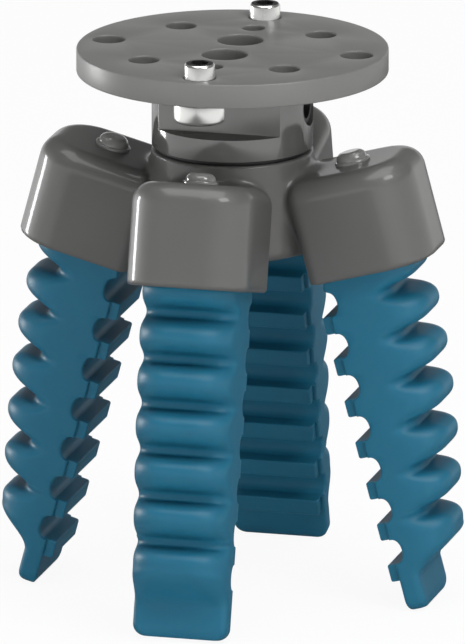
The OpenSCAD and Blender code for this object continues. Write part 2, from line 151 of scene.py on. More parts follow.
def white_floor():
    """Matt white. The camera sees it nearly full white, and reflections see it dark
    under the gripper, with a white card on either side."""
    material, tree, output = new_material("white_floor")
    link = tree.links.new
    path = add_node(tree, "ShaderNodeLightPath")
    matt = add_node(tree, "ShaderNodeBsdfDiffuse", Color=FLOOR["colour"])
    white = add_node(tree, "ShaderNodeEmission")
    seen = add_math(tree, "MULTIPLY", FLOOR["seen_white"])
    background = add_node(tree, "ShaderNodeMixShader")
    link(path.outputs["Is Camera Ray"], seen.inputs[0])
    link(seen.outputs[0], background.inputs["Fac"])
    link(matt.outputs[0], background.inputs[1])
    link(white.outputs[0], background.inputs[2])
    place = add_node(tree, "ShaderNodeTexCoord")
    split = add_node(tree, "ShaderNodeSeparateXYZ")
    aside = add_math(tree, "ABSOLUTE")
    card = add_node(
        tree, "ShaderNodeMapRange", From_Min=CARDS["from"], From_Max=CARDS["to"],
        To_Min=CARDS["between"], To_Max=CARDS["beside"],
    )
    cards = add_node(tree, "ShaderNodeEmission")
    link(place.outputs["Object"], split.inputs[0])
    link(split.outputs["X"], aside.inputs[0])
    link(aside.outputs[0], card.inputs["Value"])
    link(card.outputs["Result"], cards.inputs["Strength"])
    mix = add_node(tree, "ShaderNodeMixShader")
    link(path.outputs["Is Glossy Ray"], mix.inputs["Fac"])
    link(background.outputs[0], mix.inputs[1])
    link(cards.outputs[0], mix.inputs[2])
    link(mix.outputs[0], output.inputs["Surface"])
    return material


def lay_floor(height):
    """A large square sheet just under the fingertips."""
    half = FLOOR["half"]
    corners = [(x * half, y * half, height) for x, y in ((-1, -1), (1, -1), (1, 1), (-1, 1))]
    mesh = bpy.data.meshes.new("floor")
    mesh.from_pydata(corners, [], [(0, 1, 2, 3)])
    mesh.materials.append(white_floor())
    floor = bpy.data.objects.new("floor", mesh)
    bpy.context.scene.collection.objects.link(floor)


def round_about(azimuth, away, height):
    """A place round the gripper, its azimuth counted like the camera's."""
    a = math.radians(azimuth)
    return (away * math.sin(a), -away * math.cos(a), height)


def hang_lamp(name, place, aim, size, watts, diffuse=True, glossy=True):
    """A rectangular lamp turned towards a height on the middle axis. It can be kept out of
    matt light or out of reflections."""
    light = bpy.data.lights.new(name, "AREA")
    light.shape = "RECTANGLE"
    light.size, light.size_y = size
    light.energy = watts
    lamp = bpy.data.objects.new(name, light)
    lamp.location = Vector(place)
    lamp.rotation_euler = (Vector(place) - Vector((0, 0, aim))).to_track_quat("Z", "Y").to_euler()
    bpy.context.scene.collection.objects.link(lamp)
    lamp.visible_diffuse = diffuse
    lamp.visible_glossy = glossy


hang_sky()
lay_floor(cad_box[0].z)
hang_lamp("overhead", (0.1, -0.2, 1.3), aim=-0.05, size=(1.4, 1.4), watts=15.0)
hang_lamp("key", round_about(60, 0.85, 0.72), aim=-0.05, size=(0.45, 0.35), watts=3.6)
hang_lamp("fill_right", round_about(50, 1.1, 0.03), aim=-0.06, size=(0.5, 0.28), watts=2.4, glossy=False)
hang_lamp("fill_front", round_about(-20, 1.3, 0.02), aim=-0.06, size=(1.0, 0.25), watts=5.0, glossy=False)
hang_lamp("strip_left", (-0.40, 0.07, -0.035), aim=-0.035, size=(0.08, 0.15), watts=0.65, diffuse=False)


# ---------------------------------------------------------------- adapter plate
# The disc that is screwed to the robot's flange, turned from grey stock with a
# satin face. Two rings of screw holes, two dowel holes and two wide holes over
# the post screws are drilled through it, and every rim has a small broken edge.
MM = 0.001
PLATE = {"r": 30.5, "t": 4.8, "edge": 0.35}
PLATE_HOLES = {  # radius of each circle, its first angle, number of holes, radius of a hole
    "flange": {"at": 25.0, "first": 0, "n": 4, "r": 3.2},
    "robot": {"at": 20.0, "first": 45, "n": 4, "r": 3.0},
    "dowel": {"at": 16.0, "first": 90, "n": 2, "r": 2.25},
    "access": {"at": 6.0, "first": 90, "n": 2, "r": 4.5},
}
SATIN_GREY = (0.170, 0.170, 0.164, 1)


def surface_grain():
    """The grain that all finishes share: a height of fine pores and a slow cloudy tint."""
    group = bpy.data.node_groups.new("surface_grain", "ShaderNodeTree")
    socket = group.interface.new_socket
    for name, per_mm in (("Pores per mm", 4.0), ("Clouds per mm", 0.08)):
        socket(name, in_out="INPUT", socket_type="NodeSocketFloat").default_value = per_mm
    for name in ("Height", "Tint"):
        socket(name, in_out="OUTPUT", socket_type="NodeSocketFloat")
    link = group.links.new
    entry = add_node(group, "NodeGroupInput")
    leave = add_node(group, "NodeGroupOutput")
    place = add_node(group, "ShaderNodeTexCoord")
    for source, detail, target in (("Pores per mm", 3.0, "Height"), ("Clouds per mm", 2.0, "Tint")):
        per_metre = add_math(group, "MULTIPLY", 1 / MM)
        noise = add_node(group, "ShaderNodeTexNoise", Detail=detail)
        link(entry.outputs[source], per_metre.inputs[0])
        link(per_metre.outputs[0], noise.inputs["Scale"])
        link(place.outputs["Object"], noise.inputs["Vector"])
        link(noise.outputs["Fac"], leave.inputs[target])
    return group


GRAIN = surface_grain()


def grained(name, colour, shade, roughness, swing, pores, clouds, bump, **constants):
    """A turned or moulded finish. Its clouds darken the colour to a shade of it and add the
    swing to its roughness, and its pores are bump mm deep."""
    material, tree, output = new_material(name)
    link = tree.links.new
    shader = add_node(tree, "ShaderNodeBsdfPrincipled", **constants)
    grain = tree.nodes.new("ShaderNodeGroup")
    grain.node_tree = GRAIN
    grain.inputs["Pores per mm"].default_value = pores
    grain.inputs["Clouds per mm"].default_value = clouds
    tint = tree.nodes.new("ShaderNodeMix")
    tint.data_type = "RGBA"
    factor, clear, clouded, mixed = tint.inputs[0], tint.inputs[6], tint.inputs[7], tint.outputs[2]
    clear.default_value = colour
    clouded.default_value = tuple(c * shade for c in colour[:3]) + (1,)
    link(grain.outputs["Tint"], factor)
    link(mixed, shader.inputs["Base Color"])
    gloss = add_node(tree, "ShaderNodeMapRange", To_Min=roughness, To_Max=roughness + swing)
    link(grain.outputs["Tint"], gloss.inputs["Value"])
    link(gloss.outputs["Result"], shader.inputs["Roughness"])
    relief = add_node(tree, "ShaderNodeBump", Strength=1.0, Distance=bump * MM)
    link(grain.outputs["Height"], relief.inputs["Height"])
    link(relief.outputs["Normal"], shader.inputs["Normal"])
    link(shader.outputs[0], output.inputs["Surface"])
    return material


def finish_piece(piece, material, body, node):
    """Gives a piece its material and its body, and hides the solid that it stands for."""
    piece.data.materials.clear()
    piece.data.materials.append(material)
    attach(piece, body)
    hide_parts(node)
    return piece


def shade_edges(mesh, smooth_angle=30):
    """Smooth, except at edges sharper than the angle."""
    mesh.shade_smooth()
    mesh.set_sharp_from_angle(angle=math.radians(smooth_angle))


def object_from(bm, name, smooth_angle=30):
    """Turns a bmesh into an object with shaded edges."""
    bmesh.ops.recalc_face_normals(bm, faces=bm.faces)
    mesh = bpy.data.meshes.new(name)
    bm.to_mesh(mesh)
    bm.free()
    shade_edges(mesh, smooth_angle)
    piece = bpy.data.objects.new(name, mesh)
    bpy.context.scene.collection.objects.link(piece)
    return piece


def ring_points(x, y, z, r, steps):
    """The corners of a level ring round (x, y), in metres from sizes in mm."""
    turns = [2 * math.pi * i / steps for i in range(steps)]
    return [((x + r * math.cos(a)) * MM, (y + r * math.sin(a)) * MM, z * MM) for a in turns]


def ring_edges(bm, x, y, z, r, steps):
    """A closed ring of edges round (x, y)."""
    ring = [bm.verts.new(point) for point in ring_points(x, y, z, r, steps)]
    return [bm.edges.new((ring[i], ring[(i + 1) % steps])) for i in range(steps)]


def break_edges(bm, width, angle):
    """Rounds every edge of the solid that is sharper than the angle."""
    sharp = [e for e in bm.edges if len(e.link_faces) == 2 and e.calc_face_angle(0) > math.radians(angle)]
    bmesh.ops.bevel(
        bm, geom=sharp, offset=width * MM, segments=3, profile=0.5, affect="EDGES", clamp_overlap=True
    )


def make_plate():
    """The disc, filled between its rim and its holes, then raised and edged."""
    bm = bmesh.new()
    edges = ring_edges(bm, 0, 0, -PLATE["t"], PLATE["r"], steps=192)
    for hole in PLATE_HOLES.values():
        for i in range(hole["n"]):
            a = math.radians(hole["first"] + 360 / hole["n"] * i)
            x, y = hole["at"] * math.cos(a), hole["at"] * math.sin(a)
            edges += ring_edges(bm, x, y, -PLATE["t"], hole["r"], steps=64)
    bmesh.ops.triangle_fill(bm, use_beauty=True, use_dissolve=False, edges=edges)
    raised = bmesh.ops.extrude_face_region(bm, geom=bm.faces[:])["geom"]
    top = [v for v in raised if isinstance(v, bmesh.types.BMVert)]
    bmesh.ops.translate(bm, vec=(0, 0, PLATE["t"] * MM), verts=top)
    bmesh.ops.recalc_face_normals(bm, faces=bm.faces)
    break_edges(bm, PLATE["edge"], angle=50)
    return object_from(bm, "adapter_plate_turned")


satin_grey = grained(
    "satin_grey", SATIN_GREY, shade=0.90, roughness=0.36, swing=0.08,
    pores=2.5, clouds=0.05, bump=0.004, IOR=1.5,
)
finish_piece(make_plate(), satin_grey, "base", "adapter_plate")


# ---------------------------------------------------------------- post
# The post under the plate is turned from the same grey stock and polished. It
# has two milled flats and the wells of its screws at the top, and an air port
# drilled into its right side.
POST = {"r": 15.8, "top": -PLATE["t"], "foot": -19.3, "flat": 10.0, "flat_foot": -14.9, "edge": 0.25}
WELL = {"at": PLATE_HOLES["access"]["at"], "r": 3.7, "floor": -12.4}
PORT = {"z": -10.8, "r": 4.0, "bore_r": 2.5, "depth": 9.0}
PAST = 1.0  # how far a cutter reaches past a face
POLISHED_GREY = (0.105, 0.105, 0.101, 1)


def bake_modifiers(piece):
    """Makes the modifiers of a piece part of its mesh."""
    baked = bpy.data.meshes.new_from_object(piece.evaluated_get(bpy.context.evaluated_depsgraph_get()))
    piece.modifiers.clear()
    piece.data = baked
    return piece


def cut_with(piece, *cutters):
    """Takes cutters out of a piece for good."""
    for cutter in cutters:
        step = piece.modifiers.new("cut", "BOOLEAN")
        step.operation = "DIFFERENCE"
        step.solver = "EXACT"
        step.object = cutter
    bake_modifiers(piece)
    for cutter in cutters:
        bpy.data.objects.remove(cutter)
    return piece


def prism(name, r, low, high, sides=6):
    """An upright prism on the middle axis, between two heights in mm."""
    bm = bmesh.new()
    bmesh.ops.create_cone(
        bm, cap_ends=True, segments=sides, radius1=r * MM, radius2=r * MM, depth=(high - low) * MM,
        matrix=Matrix.Translation((0, 0, (low + high) / 2 * MM)),
    )
    return object_from(bm, name)


def brick(name, low, high):
    """A box between two corners in mm."""
    bm = bmesh.new()
    low, high = Vector(low) * MM, Vector(high) * MM
    middle, size = Matrix.Translation((low + high) / 2), Matrix.Diagonal((*(high - low), 1))
    bmesh.ops.create_cube(bm, size=1, matrix=middle @ size)
    return object_from(bm, name)


def moved(piece, x, y, z, turn=0.0):
    """Turns a piece's mesh about its own Y axis and moves it to a place in mm."""
    piece.data.transform(Matrix.Translation((x * MM, y * MM, z * MM)) @ Matrix.Rotation(turn, 4, "Y"))
    return piece


def soften(piece, width):
    """Rounds the sharp edges of a finished shape for good."""
    bm = bmesh.new()
    bm.from_mesh(piece.data)
    bmesh.ops.remove_doubles(bm, verts=bm.verts, dist=0.005 * MM)
    bmesh.ops.dissolve_limit(bm, angle_limit=math.radians(0.5), verts=bm.verts, edges=bm.edges)
    break_edges(bm, width, angle=30)
    bm.to_mesh(piece.data)
    bm.free()
    shade_edges(piece.data)
    return piece


def make_post():
    """The cylinder, less its two flats, its two wells and the port."""
    r, high = POST["r"], POST["top"] + PAST
    body = prism("hub_post_turned", r, POST["foot"], POST["top"], sides=160)
    cutters = []
    for way in (-1, 1):
        near, far = sorted((way * POST["flat"], way * (r + PAST)))
        cutters.append(brick("flat", (-r - PAST, near, POST["flat_foot"]), (r + PAST, far, high)))
    for way in (-1, 1):
        well = prism("well", WELL["r"], WELL["floor"], high, sides=48)
        cutters.append(moved(well, 0, way * WELL["at"], 0))
    port = prism("port", PORT["r"], r - PORT["depth"], r + 2 * PAST, sides=64)
    cutters.append(moved(port, 0, 0, PORT["z"], math.pi / 2))
    return soften(cut_with(body, *cutters), POST["edge"])


polished_grey = grained(
    "polished_grey", POLISHED_GREY, shade=0.92, roughness=0.10, swing=0.04,
    pores=2.5, clouds=0.05, bump=0.002, IOR=1.9,
)
finish_piece(make_post(), polished_grey, "base", "hub_post")


# ---------------------------------------------------------------- port bushing and gasket
# A black bushing is pressed into the air port, and a black rubber gasket seals
# the joint between the post and the hub. Both sit a little inside the faces
# round them.
BUSHING = {"play": 0.05, "sunk": 0.7, "lip": 0.4, "foot_edge": 0.3}
GASKET = {"top": POST["foot"], "foot": -20.2, "setback": 0.6, "bulge": 0.25}
RUBBER_BLACK = (0.012, 0.012, 0.012, 1)


def lathe(name, profile, steps=96, smooth_angle=30):
    """Turns a profile of (radius, height) points in mm about the vertical axis."""
    bm = bmesh.new()
    rings = []
    for r, z in profile:
        points = ring_points(0, 0, z, r, steps) if r > 0 else [(0, 0, z * MM)]
        rings.append([bm.verts.new(point) for point in points])
    for low, high in zip(rings, rings[1:]):
        for i in range(steps):
            j = (i + 1) % steps
            corners = [low[i % len(low)], low[j % len(low)], high[j % len(high)], high[i % len(high)]]
            corners = list(dict.fromkeys(corners))
            if len(corners) > 2:
                bm.faces.new(corners)
    return object_from(bm, name, smooth_angle)


def make_bushing():
    """A plain tube with a rounded lip, lying in the port just inside the post's curve."""
    outer, inner, end = PORT["r"], PORT["bore_r"], PORT["depth"] - BUSHING["sunk"]
    wall, lip, edge = outer - BUSHING["play"], BUSHING["lip"], BUSHING["foot_edge"]
    profile = [(inner, 0), (outer - edge, 0), (wall, edge), (wall, end - lip)]
    profile += [(outer - 0.2, end - 0.12), (outer - 0.5, end), (inner + 0.3, end)]
    profile += [(inner + 0.08, end - 0.1), (inner, end - lip), (inner, 0)]
    tube = lathe("port_liner", profile, steps=64)
    return moved(tube, POST["r"] - PORT["depth"], 0, PORT["z"], math.pi / 2)


def make_gasket():
    """A thin disc with a rounded rim."""
    low, high, bulge = GASKET["foot"], GASKET["top"], GASKET["bulge"]
    r, middle, half = POST["r"] - GASKET["setback"], (low + high) / 2, (high - low) / 2
    rim = [
        (r - bulge + bulge * math.cos(a), middle + half * math.sin(a))
        for a in np.radians(np.arange(-90, 91, 30))
    ]
    return lathe("gasket_disc", [(0, low)] + rim + [(0, high)], steps=128)


black_rubber = grained(
    "black_rubber", RUBBER_BLACK, shade=0.7, roughness=0.45, swing=0.1, pores=3.0, clouds=0.2, bump=0.006
)
finish_piece(make_bushing(), black_rubber, "base", "port_bushing")
finish_piece(make_gasket(), black_rubber, "base", "hub_gasket")


# ---------------------------------------------------------------- hub with sockets
# One glossy grey moulding: a core that flares a little downwards and four
# splayed sockets, all run together with soft fillets. The shape is worked out
# as a distance field, so that the blends are one smooth skin.
SIDES = {"right": 0, "back": 90, "left": 180, "front": 270}
HUB = {
    "top": GASKET["foot"], "foot": -39.5, "r_top": POST["r"], "r_foot": 17.3, "foot_edge": 1.5,
    "fillet": 4.2, "web_fillet": 1.5, "rise": 6.0, "seat_past": 0.9,
}
MOUTH = {"tilt": math.radians(15), "r": 30.2, "z": -41.1}
SOCKET = {
    "inner_end": -12.15, "outer_end": 12.15, "w": 24.4, "low": 0.0, "high": 20.4,
    "inner_r": 2.2, "outer_r": 9.0, "top_r": 4.0, "lip_r": 0.7,
}
POCKET = {
    "inner_end": -10.7, "outer_end": 9.3, "w": 19.6, "low": -8.0, "high": 9.0,
    "inner_r": 1.2, "outer_r": 7.0, "top_r": 0.8, "lip_r": 0.5,
}
SKIN = {"low": (-45, -45, -48), "high": (45, 45, -15), "step": 0.6, "pulls": 3, "pull": 0.9}
GLOSS_GREY = (0.100, 0.100, 0.096, 1)


def to_socket(p, angle):
    """Points in mm as the three coordinates of one socket, from the middle of its mouth."""
    a = math.radians(angle)
    x = p[..., 0] * math.cos(a) + p[..., 1] * math.sin(a) - MOUTH["r"]
    y = -p[..., 0] * math.sin(a) + p[..., 1] * math.cos(a)
    z = p[..., 2] - MOUTH["z"]
    c, s = math.cos(MOUTH["tilt"]), math.sin(MOUTH["tilt"])
    return x * c + z * s, y, -x * s + z * c


def from_socket(points, angle):
    """Points of one socket's frame, in mm, back in the gripper's frame."""
    c, s = math.cos(MOUTH["tilt"]), math.sin(MOUTH["tilt"])
    x = points[:, 0] * c - points[:, 2] * s + MOUTH["r"]
    y = points[:, 1]
    z = points[:, 0] * s + points[:, 2] * c + MOUTH["z"]
    a = math.radians(angle)
    return np.stack([x * math.cos(a) - y * math.sin(a), x * math.sin(a) + y * math.cos(a), z], -1)


def round_corner(u, v, r):
    """Distance to two faces that meet in an edge of radius r, from the distance to each."""
    u, v = u + r, v + r
    return np.minimum(np.maximum(u, v), 0) + np.hypot(np.maximum(u, 0), np.maximum(v, 0)) - r


def block_distance(x, y, z, block):
    """Distance to an upright block with radii of its own at its inner and outer corners, its
    top edge and its lip."""
    x = x - (block["inner_end"] + block["outer_end"]) / 2
    z = z - (block["low"] + block["high"]) / 2
    half_l = (block["outer_end"] - block["inner_end"]) / 2
    half_h = (block["high"] - block["low"]) / 2
    corner = np.where(x > 0, block["outer_r"], block["inner_r"])
    edge = np.where(z > 0, block["top_r"], block["lip_r"])
    wall = round_corner(np.abs(x) - half_l, np.abs(y) - block["w"] / 2, corner)
    return round_corner(wall, np.abs(z) - half_h, edge)


def melt(a, b, k):
    """Union of two distances with a fillet of about k."""
    h = np.maximum(k - np.abs(a - b), 0) / k
    return np.minimum(a, b) - h * h * h * k / 6


def hub_distance(p):
    """Signed distance to the hub, negative inside, for points in mm."""
    rho, z = np.hypot(p[..., 0], p[..., 1]), p[..., 2]
    down = np.clip((HUB["top"] - z) / (HUB["top"] - HUB["foot"]), 0, 1)
    side = rho - (HUB["r_top"] + (HUB["r_foot"] - HUB["r_top"]) * down)
    core = round_corner(side, HUB["foot"] - z, HUB["foot_edge"])
    core = np.maximum(core, z - HUB["top"] - HUB["rise"])
    places = [to_socket(p, angle) for angle in SIDES.values()]
    blocks = [block_distance(*place, SOCKET) for place in places]
    pockets = [block_distance(*place, POCKET) for place in places]
    sockets = blocks[0]
    for block in blocks[1:]:
        sockets = melt(sockets, block, HUB["web_fillet"])
    whole = melt(core, sockets, HUB["fillet"])
    seat = np.maximum(HUB["top"] - z, rho - HUB["r_top"] - HUB["seat_past"])
    return np.maximum(np.maximum(whole, -seat), -np.minimum.reduce(pockets))


def part_of(parts):
    """A grid index that takes a part of some axes and all of the others."""
    return tuple(parts.get(axis, slice(None)) for axis in range(3))


def skin_of(distance, low, high, step):
    """The zero surface of a distance field as quads, with one corner in each crossed cell.
    The corner is the mean of the points where the surface crosses the cell's edges."""
    axes = [np.arange(low[i], high[i] + step, step) for i in range(3)]
    grid = np.stack(np.meshgrid(*axes, indexing="ij"), -1)
    value = distance(grid)
    inside = value < 0
    cells = tuple(n - 1 for n in inside.shape)
    total = np.zeros(cells + (3,))
    count = np.zeros(cells)
    crossings = []
    for axis in range(3):
        a, b = part_of({axis: slice(None, -1)}), part_of({axis: slice(1, None)})
        crossed = inside[a] != inside[b]
        t = np.where(crossed, value[a] / np.where(crossed, value[a] - value[b], 1), 0)
        point = grid[a] + (grid[b] - grid[a]) * t[..., None]
        crossings.append((axis, crossed, inside[a]))
        u, v = [i for i in range(3) if i != axis]
        for du in (0, 1):
            for dv in (0, 1):
                source = part_of({u: slice(du, du + cells[u]), v: slice(dv, dv + cells[v])})
                target = part_of({u: slice(cells[u]), v: slice(cells[v])})
                total[target] += np.where(crossed[source][..., None], point[source], 0)
                count[target] += crossed[source]
    used = count > 0
    index = np.full(cells, -1)
    index[used] = np.arange(used.sum())
    points = total[used] / count[used][:, None]
    quads = []
    for axis, crossed, low_inside in crossings:
        u, v = [i for i in range(3) if i != axis]
        at = np.argwhere(crossed)
        at = at[(at[:, u] > 0) & (at[:, v] > 0) & (at[:, u] < cells[u]) & (at[:, v] < cells[v])]
        flip = low_inside[tuple(at.T)] ^ (axis == 1)
        corners = []
        for du, dv in ((1, 1), (0, 1), (0, 0), (1, 0)):
            cell = at.copy()
            cell[:, u] -= du
            cell[:, v] -= dv
            corners.append(index[tuple(cell.T)])
        quad = np.stack(corners, -1)
        quad[~flip] = quad[~flip][:, ::-1]
        quads.append(quad)
    return points, np.concatenate(quads)


def slope_of(distance, points, d=0.02):
    """Unit outward directions of a distance field."""
    g = np.stack([distance(points + d * e) - distance(points - d * e) for e in np.eye(3)], -1)
    return g / np.maximum(np.linalg.norm(g, axis=-1, keepdims=True), 1e-9)


def make_hub():
    """The hub's skin, pulled onto the exact surface in a few short steps."""
    points, quads = skin_of(hub_distance, SKIN["low"], SKIN["high"], SKIN["step"])
    for _ in range(SKIN["pulls"]):
        points = points - slope_of(hub_distance, points) * hub_distance(points)[:, None] * SKIN["pull"]
    mesh = bpy.data.meshes.new("hub_moulding")
    mesh.from_pydata((points * MM).tolist(), [], quads.tolist())
    mesh.shade_smooth()
    mesh.update()
    piece = bpy.data.objects.new("hub_moulding", mesh)
    bpy.context.scene.collection.objects.link(piece)
    return piece


gloss_grey = grained(
    "gloss_grey", GLOSS_GREY, shade=0.93, roughness=0.45, swing=0.06,
    pores=2.0, clouds=0.06, bump=0.003, IOR=1.5, Coat_Weight=0.5, Coat_Roughness=0.04,
)
finish_piece(make_hub(), gloss_grey, "base", "socket_hub")


# ---------------------------------------------------------------- socket screws
# A low domed screw on each socket holds the insert inside it. Its head has a
# thin flange and is moulded in a paler, glossier grey than the hub.
NUB = {
    "x": -0.7, "r": 3.5, "top_r": 1.6, "shank_r": 1.25, "h": 2.2, "flange": 0.6,
    "shelf": 0.45, "sunk": 0.02, "end": 4.0,
}
CLEAR_GREY = (0.235, 0.235, 0.228, 1)


def make_nub(side, angle):
    """Plain shank, thin flange and domed head, set on its socket."""
    r, top_r, shank_r = NUB["r"], NUB["top_r"], NUB["shank_r"]
    seat = SOCKET["high"]
    under, flange, top = seat - NUB["sunk"], seat + NUB["flange"], seat + NUB["h"]
    profile = [(0, NUB["end"]), (shank_r, NUB["end"]), (shank_r, under), (r, under)]
    profile += [(r, flange - 0.2), (r - 0.12, flange - 0.05), (r - 0.3, flange)]
    for a in np.radians(np.arange(0, 91, 10)):
        rise = (NUB["h"] - NUB["flange"]) * math.sin(a)
        profile.append((top_r + (r - NUB["shelf"] - top_r) * math.cos(a), flange + rise))
    profile += [(top_r - 0.3, top), (0, top)]
    piece = lathe(f"socket_screw_dome_{side}", profile, steps=64, smooth_angle=40)
    points = np.array([v.co for v in piece.data.vertices]) / MM + np.array([NUB["x"], 0, 0])
    piece.data.vertices.foreach_set("co", (from_socket(points, angle) * MM).ravel())
    piece.data.update()
    return piece


clear_grey = grained(
    "clear_grey", CLEAR_GREY, shade=0.85, roughness=0.14, swing=0.06,
    pores=2.0, clouds=0.4, bump=0.010, IOR=1.5, Coat_Weight=1.0, Coat_Roughness=0.03,
)
for side, angle in SIDES.items():
    finish_piece(make_nub(side, angle), clear_grey, "base", f"socket_screw_{side}")


# ---------------------------------------------------------------- flange screws
# Two low-head M6 screws stand through the plate from below. They are turned
# from bright plated steel, and their ends carry a black hexagon recess.
FLANGE_SCREW = {
    "at": PLATE_HOLES["flange"]["at"], "r": 3.0, "proud": 2.9,
    "head_r": 5.0, "head_h": 4.0, "head_edge": 0.8, "gap": 0.01,
}
END_RECESS = {"r": 1.9, "depth": 1.6, "margin": 0.3}
HEAD_SOCKET = {"r": 2.4, "depth": 2.2}
BRIGHT_STEEL = (0.86, 0.86, 0.84, 1)
BLACK_RECESS = (0.008, 0.008, 0.008, 1)


def steel(name, colour, roughness):
    """Plated steel with faint grain."""
    return grained(
        name, colour, shade=0.93, roughness=roughness, swing=0.08,
        pores=3.0, clouds=0.3, bump=0.002, Metallic=1.0,
    )


def make_flange_screw(side):
    """Head with a rounded foot, shank with a chamfered end, and a hexagon in both."""
    r, head_r, edge = FLANGE_SCREW["r"], FLANGE_SCREW["head_r"], FLANGE_SCREW["head_edge"]
    end, under = FLANGE_SCREW["proud"], -PLATE["t"]
    foot, seat = under - FLANGE_SCREW["head_h"], under - FLANGE_SCREW["gap"]
    profile = [(0, foot)]
    for a in np.radians(np.arange(-90, 1, 15)):
        profile.append((head_r - edge + edge * math.cos(a), foot + edge + edge * math.sin(a)))
    profile += [(head_r, under - 0.3), (head_r - 0.1, under - 0.08), (head_r - 0.3, seat)]
    profile += [(r, seat), (r, end - 0.55), (r - 0.12, end - 0.3), (r - 0.35, end - 0.08), (r - 0.6, end)]
    profile += [(0, end)]
    screw = cut_with(
        lathe(f"flange_screw_turned_{side}", profile),
        prism("recess", END_RECESS["r"], end - END_RECESS["depth"], end + PAST),
        prism("socket", HEAD_SOCKET["r"], foot - PAST, foot + HEAD_SOCKET["depth"]),
    )
    shade_edges(screw.data)
    a = math.radians(SIDES[side])
    return moved(screw, FLANGE_SCREW["at"] * math.cos(a), FLANGE_SCREW["at"] * math.sin(a), 0)


def blacken_end(screw):
    """Gives the flat of a flange screw's end and the faces of its recess the black finish."""
    end, screw_y = FLANGE_SCREW["proud"], FLANGE_SCREW["at"]
    screw.data.materials.append(black_recess)
    for face in screw.data.polygons:
        x, y, z = (c / MM for c in face.center)
        on_flat = z > end - 0.05
        near_axis = math.hypot(x, abs(y) - screw_y) < END_RECESS["r"] + END_RECESS["margin"]
        if on_flat or (near_axis and end - 1.5 * END_RECESS["depth"] < z < end):
            face.material_index = 1


bright_steel = steel("bright_steel", BRIGHT_STEEL, 0.22)
black_recess = grained(
    "black_recess", BLACK_RECESS, shade=0.7, roughness=0.5, swing=0.1, pores=3.0, clouds=0.3, bump=0.004
)
for side in ("front", "back"):
    blacken_end(finish_piece(
        make_flange_screw(side), bright_steel, "base", f"flange_screw_{side}"
    ))


# ---------------------------------------------------------------- post screws
# Two dark steel cap screws sit deep in the plate's wide holes, in the wells of
# the post. They draw the post and the gasket down onto the hub.
POST_SCREW = {
    "seat": WELL["floor"], "head_r": 3.5, "head_h": 4.0, "shank_r": 2.0, "l": 16.0,
    "hex_r": 1.7, "hex_depth": 2.0,
}
DARK_STEEL = (0.10, 0.10, 0.10, 1)


def make_post_screw(side, way):
    """Cap head with a hexagon socket on a plain shank."""
    head_r, shank_r, seat = POST_SCREW["head_r"], POST_SCREW["shank_r"], POST_SCREW["seat"]
    end, top = seat - POST_SCREW["l"], seat + POST_SCREW["head_h"]
    profile = [(0, end), (shank_r, end), (shank_r, seat), (head_r, seat)]
    profile += [(head_r, top - 0.4), (head_r - 0.15, top - 0.12), (head_r - 0.4, top), (0, top)]
    screw = cut_with(
        lathe(f"post_screw_turned_{side}", profile, steps=64),
        prism("socket", POST_SCREW["hex_r"], top - POST_SCREW["hex_depth"], top + PAST),
    )
    shade_edges(screw.data)
    return moved(screw, 0, way * WELL["at"], 0)


dark_steel = steel("dark_steel", DARK_STEEL, 0.30)
for side, way in (("front", -1), ("back", 1)):
    finish_piece(make_post_screw(side, way), dark_steel, "base", f"post_screw_{side}")


# ---------------------------------------------------------------- finger inserts
# A light moulded insert in each socket holds the root of its finger. It keeps
# the shape of its solid, and is seen only from below, past the silicone.
INSERT_GREY = (0.33, 0.33, 0.31, 1)

insert_plastic = grained(
    "insert_plastic", INSERT_GREY, shade=0.9, roughness=0.45, swing=0.08, pores=3.0, clouds=0.2, bump=0.006
)
for side in SIDES:
    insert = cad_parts[f"finger_insert_{side}"]
    insert.data.materials.clear()
    insert.data.materials.append(insert_plastic)


# ---------------------------------------------------------------- soft fingers
# Each finger is one silicone moulding: round bellows folds outside, square
# gripping ribs with hollows between them inside, and a thin flat pad at the
# tip. Air bends it inwards from its root.
FINGER = {
    "l": 68.1, "half": 9.5, "x": -0.7, "inner": -10.25, "edge": 0.45, "least_flat": 0.3, "side_turn": 70,
}
ROOT = {"h": 2.5, "half": 9.2, "relief": 1.2, "relief_h": 0.4, "step_from": 0.2, "step": 1.3}
FOLD = {
    "first": 5.0, "pitch": 8.9, "n": 6, "depth_root": 6.2, "depth_tip": 5.2, "floor_from": 0.76,
    "squareness": 2.4, "taper": 6.7, "taper_curve": 1.5, "taper_end": 1.1, "crest_r": 7.0, "groove_r": 5.5,
}
PAD = {"out": -6.25, "r": 1.4, "flank_from": 0.4, "flank_run": 3.4, "tip_r": 2.4, "tip_thinning": 0.35}
SOFTENING = {"middle": 0.22, "flank": 0.75, "radius": 0.5}
RIB = {"start": 7.3, "pitch": 8.48, "n": 7, "w": 3.43, "h": 1.9, "half": 8.65, "edge": 0.35}
HOLLOW = {"depth": 2.0, "roundness": 0.4}
RING_STEP = 0.42
# The finger's rings at each edge of a rib, by their distance into the rib.
RIB_RINGS = (-0.8, -0.45, -0.2, -0.07, -0.01, 0.005, 0.05, 0.12, 0.22, 0.35)
SILICONE_BLUE = (0.013, 0.140, 0.232, 1)


def smooth(t):
    """Soft step from 0 to 1."""
    t = np.clip(t, 0, 1)
    return t * t * (3 - 2 * t)


def blurred(values, width, step):
    """A profile rounded off by a bell curve of the given width."""
    foot = 4 * width
    off = np.arange(-foot, foot + step, step)
    bell = np.exp(-0.5 * (off / width) ** 2)
    ends = len(off) // 2
    padded = np.pad(values, ends, mode="edge")
    return np.convolve(padded, bell / bell.sum(), mode="same")[ends:][:len(values)]


